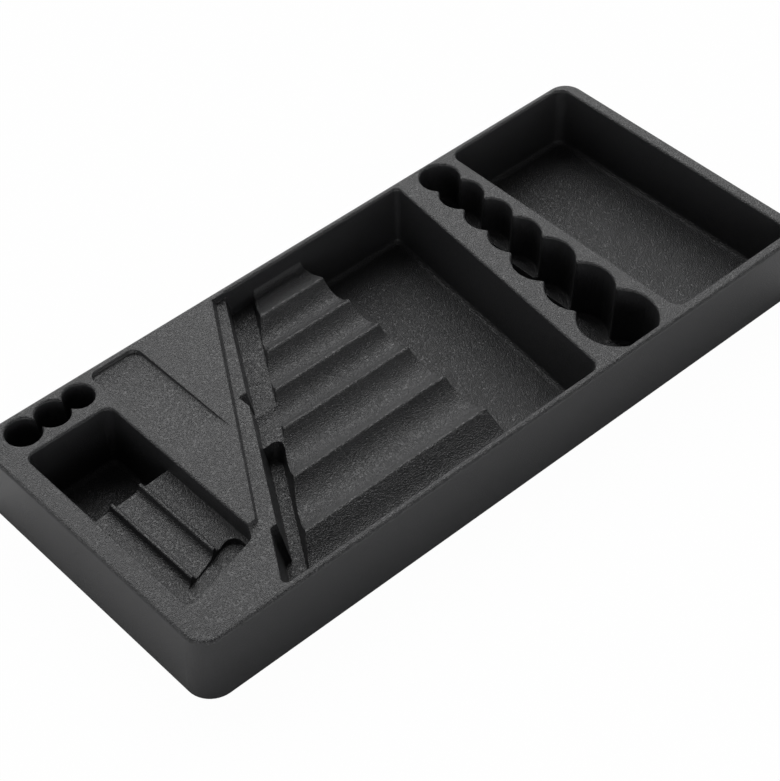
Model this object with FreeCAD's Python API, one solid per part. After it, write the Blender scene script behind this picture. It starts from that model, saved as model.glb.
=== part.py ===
import FreeCAD, Part
import math
import os
from FreeCAD import Vector

# Thermoformed drawer tray for hand tools: one drawn sheet, open underneath.
# +X runs along the tray to the parts box, +Y to the back edge, +Z up from the bench.
# Sizes are in millimetres, angles in degrees. Depths are measured down from the rim.

# Overall form
rim_length = 400.0
rim_width = 176.0
height = 37.0
sheet = 1.5
rim_corner = 11.0
rim_round = 2.0
skirt_draft = 3.5

# Shared by the recesses
pocket_draft = 3.5
deep_floor = 35.0
floor_round = 3.0
mouth_round = 1.3
front_land = 4.0
back_land = 3.7
# How far the tools that cut the recesses reach past them, above the rim and sideways
above = 4.0
overrun = 15.0

# Parts box at the +X end
end_land = 7.2
box_length = 83.4
box_front_land = 6.0
box_corner = 6.0

# Row of socket wells, back to front: diameter, step from the well before, depth
box_to_wells = 6.3
first_well_inset = 13.4
wells = [
    (21.8, 0.0, 23.0),
    (23.6, 17.8, 23.0),
    (25.2, 21.4, 23.0),
    (27.8, 21.2, 27.0),
    (33.2, 23.6, 32.0),
    (36.0, 27.6, 35.0),
    (41.4, 29.0, 35.0),
]
well_round = 2.0
cusp_round = 1.5

# Finger slot that joins the wells' floors: width, middle from the row's right edge, ends from the back rim edge
finger_slot_width = 9.0
finger_slot_corner = 2.0
finger_slot_offset = 12.5
finger_slot_ends = (32.0, 138.0)

# Slanted edges of the middle recess: x at the back wall and at the front wall, from the left rim edge
strip_edge = (144.2, 42.7)
channel_left = (151.3, 53.7)
channel_right = (173.4, 73.4)
rack_end = 201.2
# and of its right edge, from the right rim edge
recess_right = (129.5, 148.8)

recess_corners = (4.0, 6.0, 3.0, 3.0)
channel_draft = 12.0
channel_floor = 16.7
slot_floor = 26.6
slot_from_front = 91.0
slot_corner = 4.0

# Two places where the channel widens to its left
notch_from_back = 63.4
notch_from_left = 111.2
notch_length = 12.0
notch_slope = 0.25
notch_corner = 1.5
gap_from_front = 36.0
gap_step = 3.9
gap_corner = 2.5
gap_inset = 0.05
widening_overlap = 10.0

# Spanner rack: trough widths from the back wall to the front wall
trough_widths = [18.7, 20.0, 22.6, 21.8, 26.8, 29.0, 29.4]
trough_sag = 5.0
trough_arc_share = 0.86
crest_depth_back = 7.6
crest_depth_front = 18.0
crest_round = 1.8
back_trough_drop = 4.1
front_trough_drop = 8.3
back_trough_round = 14.0
front_trough_round = 25.0
rack_foot_inset = 0.9
rack_foot_lean = 0.32

# Sunken strip beside the channel, with the ramp in front of the punch pocket
strip_depth_back = 3.7
strip_depth_front = 2.2
strip_draft = 30.0
strip_corner = 3.0
strip_turn = 4.0
ramp_from_front = 39.0
ramp_blend = 60.0

# Punch pocket at the -X end
left_land = 12.0
punch_width = 49.5
punch_back_land = 27.5
punch_corners = (3.0, 8.0, 5.0, 5.0)
well_from_front = 101.0
shelf_skew = 3.0
shelf_floor = 10.0
rib_height = 4.3
rib_round = 1.0
rib_slope = 72.0
rib_places = (14.3, 31.9)

# Lines across the punch pocket: y at its left and right walls, from the front rim edge
rest_line = (35.2, 53.1)
crease_line = (23.0, 37.0)
groove_depth = (9.4, 13.0)
groove_end = 2.5
groove_round = 5.0

# Three small wells behind the punch pocket: diameter, x from the left rim edge, y from the back rim edge
bit_wells = [(18.8, 21.3, 13.2), (18.2, 38.8, 12.8), (16.4, 54.7, 12.0)]
bit_well_depth = 24.0

# Label recess, to the right of the punch pocket
label_land = 5.0
label_width = 29.0
label_length = 76.3
label_depth_back = 1.9
label_depth_front = 1.0
label_runout = 12.0
label_corner = 5.0
label_draft = 14.0

half_length = rim_length / 2
half_width = rim_width / 2
front_wall = -half_width + front_land
back_wall = half_width - back_land
left_wall = -half_length + left_land
right_wall = left_wall + punch_width
lean = math.tan(math.radians(pocket_draft))
channel_lean = math.tan(math.radians(channel_draft))
rack_wall = -half_length + rack_end
well_line = half_length - end_land - box_length - box_to_wells


def shifted(points, distance, closed=True):
    """Corners of a line of points moved sideways by distance, to the right of its direction."""
    count = len(points)
    sides = []
    for i in range(count if closed else count - 1):
        start = points[i]
        end = points[(i + 1) % count]
        run = math.hypot(end[0] - start[0], end[1] - start[1])
        direction = ((end[0] - start[0]) / run, (end[1] - start[1]) / run)
        move = distance[i] if isinstance(distance, (list, tuple)) else distance
        sides.append(((start[0] + direction[1] * move, start[1] - direction[0] * move), direction))
    moved = []
    for i in range(count):
        if not closed and i == 0:
            moved.append(sides[0][0])
            continue
        if not closed and i == count - 1:
            run = math.hypot(points[i][0] - points[i - 1][0], points[i][1] - points[i - 1][1])
            place, direction = sides[-1]
            moved.append((place[0] + direction[0] * run, place[1] + direction[1] * run))
            continue
        (p, d), (q, e) = sides[i - 1], sides[i]
        cross = d[0] * e[1] - d[1] * e[0]
        along = ((q[0] - p[0]) * e[1] - (q[1] - p[1]) * e[0]) / cross
        moved.append((p[0] + d[0] * along, p[1] + d[1] * along))
    return moved


def rounded(points, radii, place, closed=True):
    """Edges through the points with each corner rounded, put in space by place(u, v)."""
    count = len(points)
    ends = []
    for i in range(count):
        here = points[i]
        if radii[i] <= 0 or (not closed and i in (0, count - 1)):
            ends.append((here, None, here))
            continue
        before = points[i - 1]
        after = points[(i + 1) % count]
        a = math.atan2(before[1] - here[1], before[0] - here[0])
        b = math.atan2(after[1] - here[1], after[0] - here[0])
        half = abs((a - b + math.pi) % (2 * math.pi) - math.pi) / 2
        tangent = radii[i] / math.tan(half)
        middle = math.atan2(math.sin(a) + math.sin(b), math.cos(a) + math.cos(b))
        reach = radii[i] / math.sin(half) - radii[i]
        ends.append((
            (here[0] + tangent * math.cos(a), here[1] + tangent * math.sin(a)),
            (here[0] + reach * math.cos(middle), here[1] + reach * math.sin(middle)),
            (here[0] + tangent * math.cos(b), here[1] + tangent * math.sin(b)),
        ))
    edges = []
    for i in range(count):
        first, middle, last = ends[i]
        if middle:
            edges.append(Part.Arc(place(*first), place(*middle), place(*last)).toShape())
        if closed or i < count - 1:
            following = ends[(i + 1) % count][0]
            edges.append(Part.LineSegment(place(*last), place(*following)).toShape())
    return edges


def outline(points, radii, z):
    return Part.Wire(rounded(points, radii, lambda x, y: Vector(x, y, z)))


def bottom_edges(solid, z):
    return [e for e in solid.Edges if all(abs(v.Z - z) < 1e-6 for v in e.Vertexes)]


def tapered(points, radii, slopes, depth, grow=0.0, foot=0.0):
    """Recess body: the corners run anticlockwise at rim level and the sides lean in going down."""
    top = height + above
    floor = height - depth - grow
    grown = [r + grow for r in radii]
    upper = shifted(points, [grow + above * s for s in slopes])
    lower = shifted(points, [grow - (depth + grow) * s for s in slopes])
    body = Part.makeLoft([outline(upper, grown, top), outline(lower, grown, floor)], True, True)
    if foot > 0:
        body = body.makeFillet(foot + grow, bottom_edges(body, floor))
    return body


def parts_box(grow):
    right = half_length - end_land
    left = right - box_length
    front = -half_width + box_front_land
    corners = [(left, front), (right, front), (right, back_wall), (left, back_wall)]
    return tapered(corners, [box_corner] * 4, [lean] * 4, deep_floor, grow, floor_round)


def upright_edges(shape):
    """The edges that run the whole depth of a recess, such as the ridges between wells."""
    found = []
    for edge in shape.Edges:
        box = edge.BoundBox
        if box.ZMax > height and box.ZLength > 3 * max(box.XLength, box.YLength):
            found.append(edge)
    return found


def rim_edges(shape, inset):
    """The edges in the rim plane that keep the inset from the outer outline."""
    found = []
    for edge in shape.Edges:
        box = edge.BoundBox
        level = max(abs(box.ZMin - height), abs(box.ZMax - height)) < 0.001
        inside = max(abs(box.XMin), abs(box.XMax)) < half_length - inset
        if level and inside and max(abs(box.YMin), abs(box.YMax)) < half_width - inset:
            found.append(edge)
    return found


def eased(tool, grow):
    """On the top side, the tool with its mouth flared, so that it leaves a rounded edge at the rim."""
    if grow > 0:
        return tool
    slab = Part.makeBox(2 * rim_length, 2 * rim_width, 2 * height, Vector(-rim_length, -rim_width, -height))
    carved = slab.cut(tool)
    return slab.cut(carved.makeFillet(mouth_round, rim_edges(carved, 0.0))).fuse(tool)


def cone_well(x, y, radius, depth, grow):
    floor = height - depth - grow
    run = depth + grow + above
    top_radius = radius + grow + above * lean
    well = Part.makeCone(top_radius - run * lean, top_radius, run, Vector(x, y, floor))
    return well.makeFillet(well_round + grow, bottom_edges(well, floor))


def socket_wells(grow):
    y = half_width - first_well_inset
    row = None
    for diameter, step, depth in wells:
        y -= step
        well = cone_well(well_line - diameter / 2, y, diameter / 2, depth, grow)
        row = well if row is None else row.fuse(well)
    if grow == 0:
        row = row.makeFillet(cusp_round, upright_edges(row))
    left, right, far = well_line - 2 * wells[-1][0], well_line + overrun, half_width + overrun
    corners = [(left, front_wall), (right, front_wall), (right, far), (left, far)]
    return row.common(tapered(corners, [0] * 4, [lean, 0, 0, 0], deep_floor + 1, grow))


def finger_slot(grow):
    """The groove that runs on through the floors of the socket wells."""
    left = well_line - finger_slot_offset - finger_slot_width / 2
    right = left + finger_slot_width
    near, far = half_width - finger_slot_ends[1], half_width - finger_slot_ends[0]
    corners = [(left, near), (right, near), (right, far), (left, far)]
    return tapered(corners, [finger_slot_corner] * 4, [lean] * 4, deep_floor, grow)


def across(pair, y):
    """X at this Y on a slanted edge, from its distances to the left rim edge at the back and front walls."""
    return -half_length + pair[1] + (pair[0] - pair[1]) * (y - front_wall) / (back_wall - front_wall)


def along(pair, x):
    """Y at this X on a line across the punch pocket, from its distances to the front rim edge at both walls."""
    return -half_width + pair[0] + (pair[1] - pair[0]) * (x - left_wall) / punch_width


def flared(points, slopes, grow=0.0, radii=None):
    """Standing block: the corners run anticlockwise at rim level and the sides lean out in going down."""
    rings = []
    for z in (-above, height + above):
        corners = shifted(points, [s * (height - z) - grow for s in slopes])
        rings.append(outline(corners, radii or [0] * len(points), z))
    return Part.makeLoft(rings, True, True)


def under(points, radii, place, run, grow):
    """Everything below a line of (position, depth) corners, swept by the run vector."""
    line = shifted([(u, height - d) for u, d in points], grow, closed=False)
    turns = []
    for i in range(1, len(line) - 1):
        a, b, c = line[i - 1], line[i], line[i + 1]
        valley = (b[0] - a[0]) * (c[1] - b[1]) - (b[1] - a[1]) * (c[0] - b[0]) > 0
        turns.append(radii[i] + grow if valley else max(radii[i] - grow, 0))
    edges = rounded(line, [0] + turns + [0], place, closed=False)
    first, last = line[0], line[-1]
    corners = [place(*last), place(last[0], -2 * above), place(first[0], -2 * above), place(*first)]
    edges += Part.makePolygon(corners).Edges
    return Part.Face(Part.Wire(edges)).extrude(run)


def rack_line():
    """Corners and rounding of the rack's scalloped top, front to back, as (y, depth)."""
    scale = (back_wall - front_wall) / sum(trough_widths)
    fall = (crest_depth_front - crest_depth_back) / (back_wall - front_wall)
    crests = []
    y = back_wall
    for width in trough_widths[:-1]:
        y -= width * scale
        crests.append((y, crest_depth_back + fall * (back_wall - y)))
    first, last = crests[0], crests[-1]
    floor = first[1] + back_trough_drop
    foot = back_wall - floor * lean - rack_foot_inset
    points = [(foot + floor * rack_foot_lean, 0.0), (foot, floor), ((first[0] + back_wall) / 2, floor)]
    radii = [0, floor_round, back_trough_round]
    points.append(first)
    radii.append(crest_round)
    for near, far in zip(crests, crests[1:]):
        half = (near[0] - far[0]) / 2
        angle = 2 * math.atan(trough_sag / half)
        points.append(((near[0] + far[0]) / 2, (near[1] + far[1]) / 2 + half * math.tan(angle)))
        radii.append(trough_arc_share * half / math.sin(angle))
        points.append(far)
        radii.append(crest_round)
    points.append(((last[0] + front_wall) / 2, last[1] + front_trough_drop))
    radii.append(front_trough_round)
    points.append((front_wall - overrun, last[1] + front_trough_drop))
    radii.append(0)
    return points[::-1], radii[::-1]


def rack(grow):
    """The raised part of the middle recess: spanner troughs, with the slanted channel and slot beside them."""
    points, radii = rack_line()
    far = half_length + overrun
    body = under(points, radii, lambda y, z: Vector(-far, y, z), Vector(2 * far, 0, 0), grow)
    ends = half_width + overrun
    limit = flared([(-far, -ends), (rack_wall, -ends), (rack_wall, ends), (-far, ends)], [0, lean, 0, 0], grow)
    body = body.common(limit)
    slot_back = -half_width + slot_from_front
    beyond = across(channel_left, -ends) - half_width
    channel = [(beyond, -ends), (across(channel_right, -ends), -ends), (across(channel_right, ends), ends),
               (beyond, ends)]
    body = body.cut(tapered(channel, [0] * 4, [0, channel_lean, 0, 0], channel_floor, grow))
    slot = [(beyond, -ends), (across(channel_right, -ends), -ends), (across(channel_right, slot_back), slot_back),
            (beyond, slot_back)]
    slopes = [0, channel_lean, channel_lean, 0]
    return body.cut(tapered(slot, [0, 0, slot_corner, 0], slopes, slot_floor, grow))


def middle_recess(grow):
    """The large recess behind the front wall, from the slanted strip to the socket wells."""
    left = [across(channel_left, front_wall), across(channel_left, back_wall)]
    right = [half_length - recess_right[1], half_length - recess_right[0]]
    corners = [(left[0], front_wall), (right[0], front_wall), (right[1], back_wall), (left[1], back_wall)]
    whole = tapered(corners, recess_corners, [lean, lean, lean, channel_lean], deep_floor, grow, floor_round)
    return eased(whole, grow).cut(rack(grow))


def notch(grow):
    """The small widening of the channel near the back."""
    x = -half_length + notch_from_left
    y = half_width - notch_from_back
    inner = x + widening_overlap
    corners = [(x, y - notch_length), (inner, y - notch_length), (inner, y), (x, y)]
    slopes = [0, 0, notch_slope, notch_slope]
    return eased(tapered(corners, [0, 0, 0, notch_corner], slopes, channel_floor, grow), grow)


def gap(grow):
    """The long widening of the channel at the front, as deep as the slot."""
    y = -half_width + gap_from_front
    front = across(channel_left, front_wall)
    back = across(channel_left, y)
    start = front_wall + gap_inset
    corners = [(front - gap_step, start), (front + widening_overlap, start), (back + widening_overlap, y),
               (back - gap_step, y)]
    slopes = [lean, 0, channel_lean, channel_lean]
    return eased(tapered(corners, [gap_corner, 0, 0, gap_corner], slopes, slot_floor, grow), grow)


def punch_line():
    """Corners and rounding of the three punch troughs, left to right, as (x, depth)."""
    spread = rib_height / math.tan(math.radians(rib_slope))
    peak = rib_round / math.cos(math.radians(rib_slope)) - rib_round
    half = spread + peak / math.tan(math.radians(rib_slope))
    points = [(left_wall - 2 * overrun, shelf_floor)]
    radii = [0]
    for place in rib_places:
        x = left_wall + place
        points += [(x - half, shelf_floor), (x, shelf_floor - rib_height - peak), (x + half, shelf_floor)]
        radii += [floor_round, rib_round, floor_round]
    points.append((right_wall + 2 * overrun, shelf_floor))
    radii.append(0)
    return points, radii


def punch_rest(grow):
    """The raised part of the punch pocket: three ribbed troughs and the finger groove before them."""
    near, far = left_wall - overrun, right_wall + overrun
    middle = (left_wall + right_wall) / 2
    well_front = -half_width + well_from_front
    skew = shelf_skew / punch_width
    back = (well_front - skew * (middle - near), well_front + skew * (far - middle))
    points, radii = punch_line()
    run = Vector(0, rim_width, 0)
    troughs = under(points, radii, lambda x, z: Vector(x, -half_width, z), run, grow)
    end = right_wall - groove_end
    footprint = [(near, along(rest_line, near)), (end, along(rest_line, end)), (end, -half_width),
                 (far, -half_width), (far, back[1]), (near, back[0])]
    slopes = [lean, lean, 0, 0, lean, 0]
    troughs = troughs.common(flared(footprint, slopes, grow, [0, groove_round, 0, 0, 0, 0]))
    fall = (groove_depth[1] - groove_depth[0]) / punch_width
    groove = [(near, groove_depth[0] - fall * (left_wall - near)), (far, groove_depth[1] + fall * (far - right_wall))]
    floor = under(groove, [0, 0], lambda x, z: Vector(x, -half_width, z), run, grow)
    footprint = [(near, -half_width), (far, -half_width), (far, back[1]), (near, back[0])]
    return troughs.fuse(floor.common(flared(footprint, [0, 0, lean, 0], grow)))


def punch_pocket(grow):
    """The pocket at the left end: a deep well behind three troughs."""
    back = half_width - punch_back_land
    front = [along(crease_line, left_wall), along(crease_line, right_wall)]
    corners = [(left_wall, front[0]), (right_wall, front[1]), (right_wall, back), (left_wall, back)]
    whole = tapered(corners, punch_corners, [lean] * 4, deep_floor, grow, floor_round)
    return whole.cut(punch_rest(grow))


def bit_row(grow):
    row = None
    for diameter, x, y in bit_wells:
        well = cone_well(-half_length + x, half_width - y, diameter / 2, bit_well_depth, grow)
        row = well if row is None else row.fuse(well)
    return row


def over(points, radii, place, run, grow):
    """Everything above a line of (position, depth) corners, swept by the run vector."""
    line = shifted([(u, height - d) for u, d in points], grow, closed=False)
    edges = rounded(line, radii, place, closed=False)
    first, last = line[0], line[-1]
    top = height + above
    edges += Part.makePolygon([place(*last), place(last[0], top), place(first[0], top), place(*first)]).Edges
    return Part.Face(Part.Wire(edges)).extrude(run)


def strip(grow):
    """The shallow strip along the channel, and the ramp that runs from it up to the front rim."""
    slope = math.tan(math.radians(strip_draft))
    ramp_top = -half_width + ramp_from_front
    turn = ramp_top + strip_turn
    inside = mouth_round + above
    corners = [(left_wall, front_wall), (across(channel_left, front_wall) + inside, front_wall),
               (across(channel_left, back_wall) + inside, back_wall), (across(strip_edge, back_wall), back_wall),
               (across(strip_edge, turn), turn), (left_wall, turn)]
    slopes = [lean, 0, lean, slope, slope, lean]
    area = tapered(corners, [0, 0, 0, 0, strip_corner, 0], slopes, strip_depth_back + 2, grow)
    ramp = strip_depth_front / (ramp_top - front_wall)
    rise = (strip_depth_back - strip_depth_front) / (back_wall - ramp_top)
    points = [(front_wall - overrun, -overrun * ramp), (ramp_top, strip_depth_front),
              (back_wall + overrun, strip_depth_back + overrun * rise)]
    surface = over(points, [0, ramp_blend, 0], lambda y, z: Vector(-half_length, y, z), Vector(rim_length, 0, 0), grow)
    return area.common(surface)


def label(grow):
    """A shallow recess for a label, its floor running out to rim level at the front."""
    slope = math.tan(math.radians(label_draft))
    left = right_wall + label_land
    right = left + label_width
    front = back_wall - label_length
    corners = [(left, front - above), (right, front - above), (right, back_wall), (left, back_wall)]
    area = tapered(corners, [0, 0, label_corner, label_corner], [0, slope, slope, slope], label_depth_back + 2, grow)
    fall = label_depth_front / label_runout
    rise = (label_depth_back - label_depth_front) / (label_length - label_runout)
    points = [(front - overrun, -overrun * fall), (front + label_runout, label_depth_front),
              (back_wall + overrun, label_depth_back + overrun * rise)]
    surface = over(points, [0, 0, 0], lambda y, z: Vector(-half_length, y, z), Vector(rim_length, 0, 0), grow)
    return area.common(surface)


def block(inset, top):
    """The outer form, its sides leaning out to the foot, moved inwards by the inset."""
    slope = math.tan(math.radians(skirt_draft))
    corners = [(-half_length, -half_width), (half_length, -half_width), (half_length, half_width),
               (-half_length, half_width)]
    rings = []
    for z in (0.0, top):
        out = slope * (height - z) - inset
        rings.append(outline(shifted(corners, out), [rim_corner + out] * 4, z))
    return Part.makeLoft(rings, True, True)


def formed():
    """The outer form with every recess taken out of it: the sheet's top side."""
    body = block(0, height)
    body = body.makeFillet(rim_round, rim_edges(body, -1.0))
    for recess in first_recesses:
        body = body.cut(recess(0))
    body = body.makeFillet(mouth_round, rim_edges(body, rim_round + 0.1))
    for recess in later_recesses:
        body = body.cut(recess(0))
    return body


def hollow():
    """The space under the sheet."""
    body = block(sheet, height - sheet)
    for recess in first_recesses + later_recesses:
        body = body.cut(recess(sheet))
    return body


# The first have their mouths rounded together. The later ones bring their own roundings or stay crisp.
first_recesses = [parts_box, socket_wells, bit_row, punch_pocket]
later_recesses = [finger_slot, middle_recess, notch, gap, strip, label]


def main():
    os.makedirs("parts", exist_ok=True)
    tray = formed().cut(hollow())
    print("tray", tray.isValid(), len(tray.Solids), len(tray.Faces), round(tray.Volume))
    tray.exportStep("parts/tray.step")


main()
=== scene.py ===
from math import cos, radians, sin

import bmesh
import bpy
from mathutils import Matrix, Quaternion, Vector

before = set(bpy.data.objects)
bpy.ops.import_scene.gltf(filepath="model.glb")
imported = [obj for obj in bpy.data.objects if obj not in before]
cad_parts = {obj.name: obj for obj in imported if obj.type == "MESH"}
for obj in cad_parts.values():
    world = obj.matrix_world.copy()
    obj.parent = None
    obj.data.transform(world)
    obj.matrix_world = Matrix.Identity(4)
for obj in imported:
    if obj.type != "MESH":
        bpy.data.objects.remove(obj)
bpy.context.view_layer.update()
print("frame loaded")


# A node's socket that can be used in sums
class Value:
    def __init__(self, tree, socket):
        self.tree = tree
        self.socket = socket

    def math(self, operation, *others, flip=False):
        operands = [self, *others]
        if flip:
            operands.reverse()
        return self.tree.node("ShaderNodeMath", {"operation": operation}, dict(enumerate(operands)))

    def __add__(self, other):
        return self.math("ADD", other)

    __radd__ = __add__

    def __mul__(self, other):
        return self.math("MULTIPLY", other)

    __rmul__ = __mul__

    def __sub__(self, other):
        return self.math("SUBTRACT", other)

    def __rsub__(self, other):
        return self.math("SUBTRACT", other, flip=True)


class Tree:
    def __init__(self, nodeTree):
        self.nodes = nodeTree.nodes
        self.links = nodeTree.links
        self.nodes.clear()

    # Settings go in first, then a value or a link for each named socket
    def node(self, kind, settings=None, inputs=None, output=0):
        made = self.nodes.new(kind)
        for name, value in (settings or {}).items():
            setattr(made, name, value)
        for name, value in (inputs or {}).items():
            socket = made.inputs[name]
            if isinstance(value, Value):
                self.links.new(value.socket, socket)
            else:
                socket.default_value = value
        return Value(self, made.outputs[output]) if len(made.outputs) else None

    def smoothStep(self, value, start, end):
        return self.node(
            "ShaderNodeMapRange",
            {"interpolation_type": "SMOOTHSTEP"},
            {"Value": value, "From Min": start, "From Max": end},
        )


def newMaterial(name):
    material = bpy.data.materials.new(name)
    material.use_nodes = True
    return material, Tree(material.node_tree)


trayLook = {
    "colour": (0.0165, 0.0167, 0.0177),
    "colourProud": (0.026, 0.0264, 0.028),  # on the tops of the grain
    "grainTint": 0.7,  # how much the grain's tops and the slow clouds shift the colour
    "cloudTint": 0.3,
    "cloudScale": 38,
    "roughness": 0.34,
    "roughnessSpread": 0.08,
    "grainSize": 0.0009,  # metres across one cell of the leather grain
    "grainDepth": 0.00040,
    "valleyWidth": 0.35,  # of a cell
    "cellShare": 0.45,  # height of the cells
    "swellShare": 0.9,  # height of the soft swell under them
    "swellSize": 0.001,
    "warpScale": 700,
    "warpReach": 0.0005,  # how far the cells are pulled out of shape
    "wallGrain": 0.30,  # share of the grain left on the stretched walls
    "wallToFloor": (0.2, 0.6),  # upward part of the normal where a wall ends and a floor begins
    "edgeRadius": 0.0008,
}


# Cells with soft tops and narrow valleys between them, over a soft swell
def leatherGrain(tree, look, place):
    pull = tree.node(
        "ShaderNodeTexNoise",
        None,
        {"Vector": place, "Scale": look["warpScale"], "Detail": 2},
        output="Color",
    )
    pulledPlace = tree.node(
        "ShaderNodeVectorMath",
        {"operation": "MULTIPLY_ADD"},
        {0: pull, 1: [look["warpReach"]] * 3, 2: place},
    )
    fromValley = tree.node(
        "ShaderNodeTexVoronoi",
        {"feature": "DISTANCE_TO_EDGE"},
        {"Vector": pulledPlace, "Scale": 1 / look["grainSize"]},
    )
    swell = tree.node(
        "ShaderNodeTexNoise",
        None,
        {"Vector": place, "Scale": 1 / look["swellSize"], "Detail": 2},
    )
    cells = tree.smoothStep(fromValley, 0, look["valleyWidth"])
    return cells * look["cellShare"] + swell * look["swellShare"]


def blackSheet(look):
    material, tree = newMaterial("blackSheet")
    place = tree.node("ShaderNodeTexCoord", output="Object")
    grain = leatherGrain(tree, look, place)
    clouds = tree.node(
        "ShaderNodeTexNoise",
        None,
        {"Vector": place, "Scale": look["cloudScale"], "Detail": 4},
    )
    facing = tree.node("ShaderNodeNewGeometry", output="True Normal")
    upward = tree.node("ShaderNodeSeparateXYZ", None, {"Vector": facing}, output="Z")
    floorShare = tree.smoothStep(upward, *look["wallToFloor"])
    grainShare = floorShare * (1 - look["wallGrain"]) + look["wallGrain"]
    softEdges = tree.node("ShaderNodeBevel", {"samples": 6}, {"Radius": look["edgeRadius"]})
    bump = tree.node(
        "ShaderNodeBump",
        None,
        {"Strength": grainShare, "Distance": look["grainDepth"], "Height": grain, "Normal": softEdges},
    )
    spread = look["roughnessSpread"]
    roughness = clouds * spread + grain * spread + (look["roughness"] - spread)
    tint = grain * look["grainTint"] + clouds * look["cloudTint"]
    colour = tree.node(
        "ShaderNodeMix",
        {"data_type": "RGBA"},
        {0: tint, 6: (*look["colour"], 1), 7: (*look["colourProud"], 1)},
        output=2,
    )
    shader = tree.node(
        "ShaderNodeBsdfPrincipled",
        None,
        {"Base Color": colour, "Roughness": roughness, "Normal": bump},
    )
    tree.node("ShaderNodeOutputMaterial", None, {"Surface": shader})
    return material


# The tray is the CAD node itself, with its own finish
def finishTray(look):
    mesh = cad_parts["tray"].data
    mesh.materials.clear()
    mesh.materials.append(blackSheet(look))


finishTray(trayLook)
print("tray finished")


floorLook = {
    "width": 6.0,
    "colour": (0.86, 0.86, 0.86),
    "veil": 0.98,  # share of plain white that the camera sees over the shadow
}


def paleFloor(look):
    material, tree = newMaterial("paleFloor")
    seen = tree.node("ShaderNodeLightPath", output="Is Camera Ray")
    matte = tree.node("ShaderNodeBsdfDiffuse", None, {"Color": (*look["colour"], 1)})
    white = tree.node("ShaderNodeEmission", None, {"Color": (1, 1, 1, 1), "Strength": 1.0})
    mixed = tree.node("ShaderNodeMixShader", None, {0: seen * look["veil"], 1: matte, 2: white})
    tree.node("ShaderNodeOutputMaterial", None, {"Surface": mixed})
    return material


def makeFloor(look):
    mesh = bpy.data.meshes.new("floor")
    sheet = bmesh.new()
    bmesh.ops.create_grid(sheet, x_segments=1, y_segments=1, size=look["width"] / 2)
    sheet.to_mesh(mesh)
    sheet.free()
    mesh.materials.append(paleFloor(look))
    floor = bpy.data.objects.new("floor", mesh)
    bpy.context.collection.objects.link(floor)


makeFloor(floorLook)
print("floor laid")


# A dim studio with broad patches of light. Azimuths run in degrees from +Y towards +X. A patch grows
# over "spread", the cosine of the angle from its azimuth, and over "rise", the sine of the height,
# and fades out over "fall".
studioLook = {
    "dim": 0.08,
    "patches": {
        "behind": {
            "azimuth": 30,
            "spread": (0.5, 0.96),
            "rise": (0.3, 0.6),
            "fall": (0.84, 0.96),
            "strength": 3.7,
        },
        "lowBehind": {
            "azimuth": 24,
            "spread": (0.3, 0.95),
            "rise": (-0.1, 0.05),
            "fall": (0.3, 0.7),
            "strength": 1.35,
        },
        "left": {
            "azimuth": -90,
            "spread": (0.3, 0.95),
            "rise": (-0.1, 0),
            "fall": (0.2, 0.45),
            "strength": 0.55,
        },
        "near": {
            "azimuth": -165,
            "spread": (-0.1, 0.8),
            "rise": (-0.2, 0),
            "fall": (0.15, 0.45),
            "strength": 2.4,
        },
    },
}


def lightPatch(tree, level, height, look):
    angle = radians(look["azimuth"])
    toward = tree.node(
        "ShaderNodeVectorMath",
        {"operation": "DOT_PRODUCT"},
        {0: level, 1: (sin(angle), cos(angle), 0)},
        output="Value",
    )
    rise = tree.smoothStep(height, *look["rise"])
    stay = 1 - tree.smoothStep(height, *look["fall"])
    return tree.smoothStep(toward, *look["spread"]) * rise * stay * look["strength"]


# The camera sees plain white behind the tray, and only the tray sees the studio
def makeStudio(look):
    world = bpy.data.worlds.new("studio")
    world.use_nodes = True
    bpy.context.scene.world = world
    tree = Tree(world.node_tree)
    direction = tree.node("ShaderNodeTexCoord", output="Generated")
    height = tree.node("ShaderNodeSeparateXYZ", None, {"Vector": direction}, output="Z")
    level = tree.node("ShaderNodeVectorMath", {"operation": "MULTIPLY"}, {0: direction, 1: (1, 1, 0)})
    level = tree.node("ShaderNodeVectorMath", {"operation": "NORMALIZE"}, {0: level})
    light = look["dim"]
    for patch in look["patches"].values():
        light = light + lightPatch(tree, level, height, patch)
    seen = tree.node("ShaderNodeLightPath", output="Is Camera Ray")
    strength = seen * (1 - light) + light
    glow = tree.node("ShaderNodeBackground", None, {"Color": (1, 1, 1, 1), "Strength": strength})
    tree.node("ShaderNodeOutputWorld", None, {"Surface": glow})


makeStudio(studioLook)
print("studio lit")


cameraLook = {
    "place": (-0.52815, -0.61612, 0.81071),
    "aim": (-0.01008, 0.00219, 0.0),
    "lens": 104.235,
    "roll": -2.748,  # degrees about the line of sight
}


def makeCamera(look):
    data = bpy.data.cameras.new("camera")
    data.lens = look["lens"]
    camera = bpy.data.objects.new("camera", data)
    camera.location = look["place"]
    sight = Vector(look["aim"]) - Vector(look["place"])
    camera.rotation_mode = "QUATERNION"
    camera.rotation_quaternion = sight.to_track_quat("-Z", "Y") @ Quaternion((0, 0, 1), radians(look["roll"]))
    bpy.context.collection.objects.link(camera)
    bpy.context.scene.camera = camera


makeCamera(cameraLook)
bpy.context.scene.view_settings.view_transform = "Standard"
print("camera set")
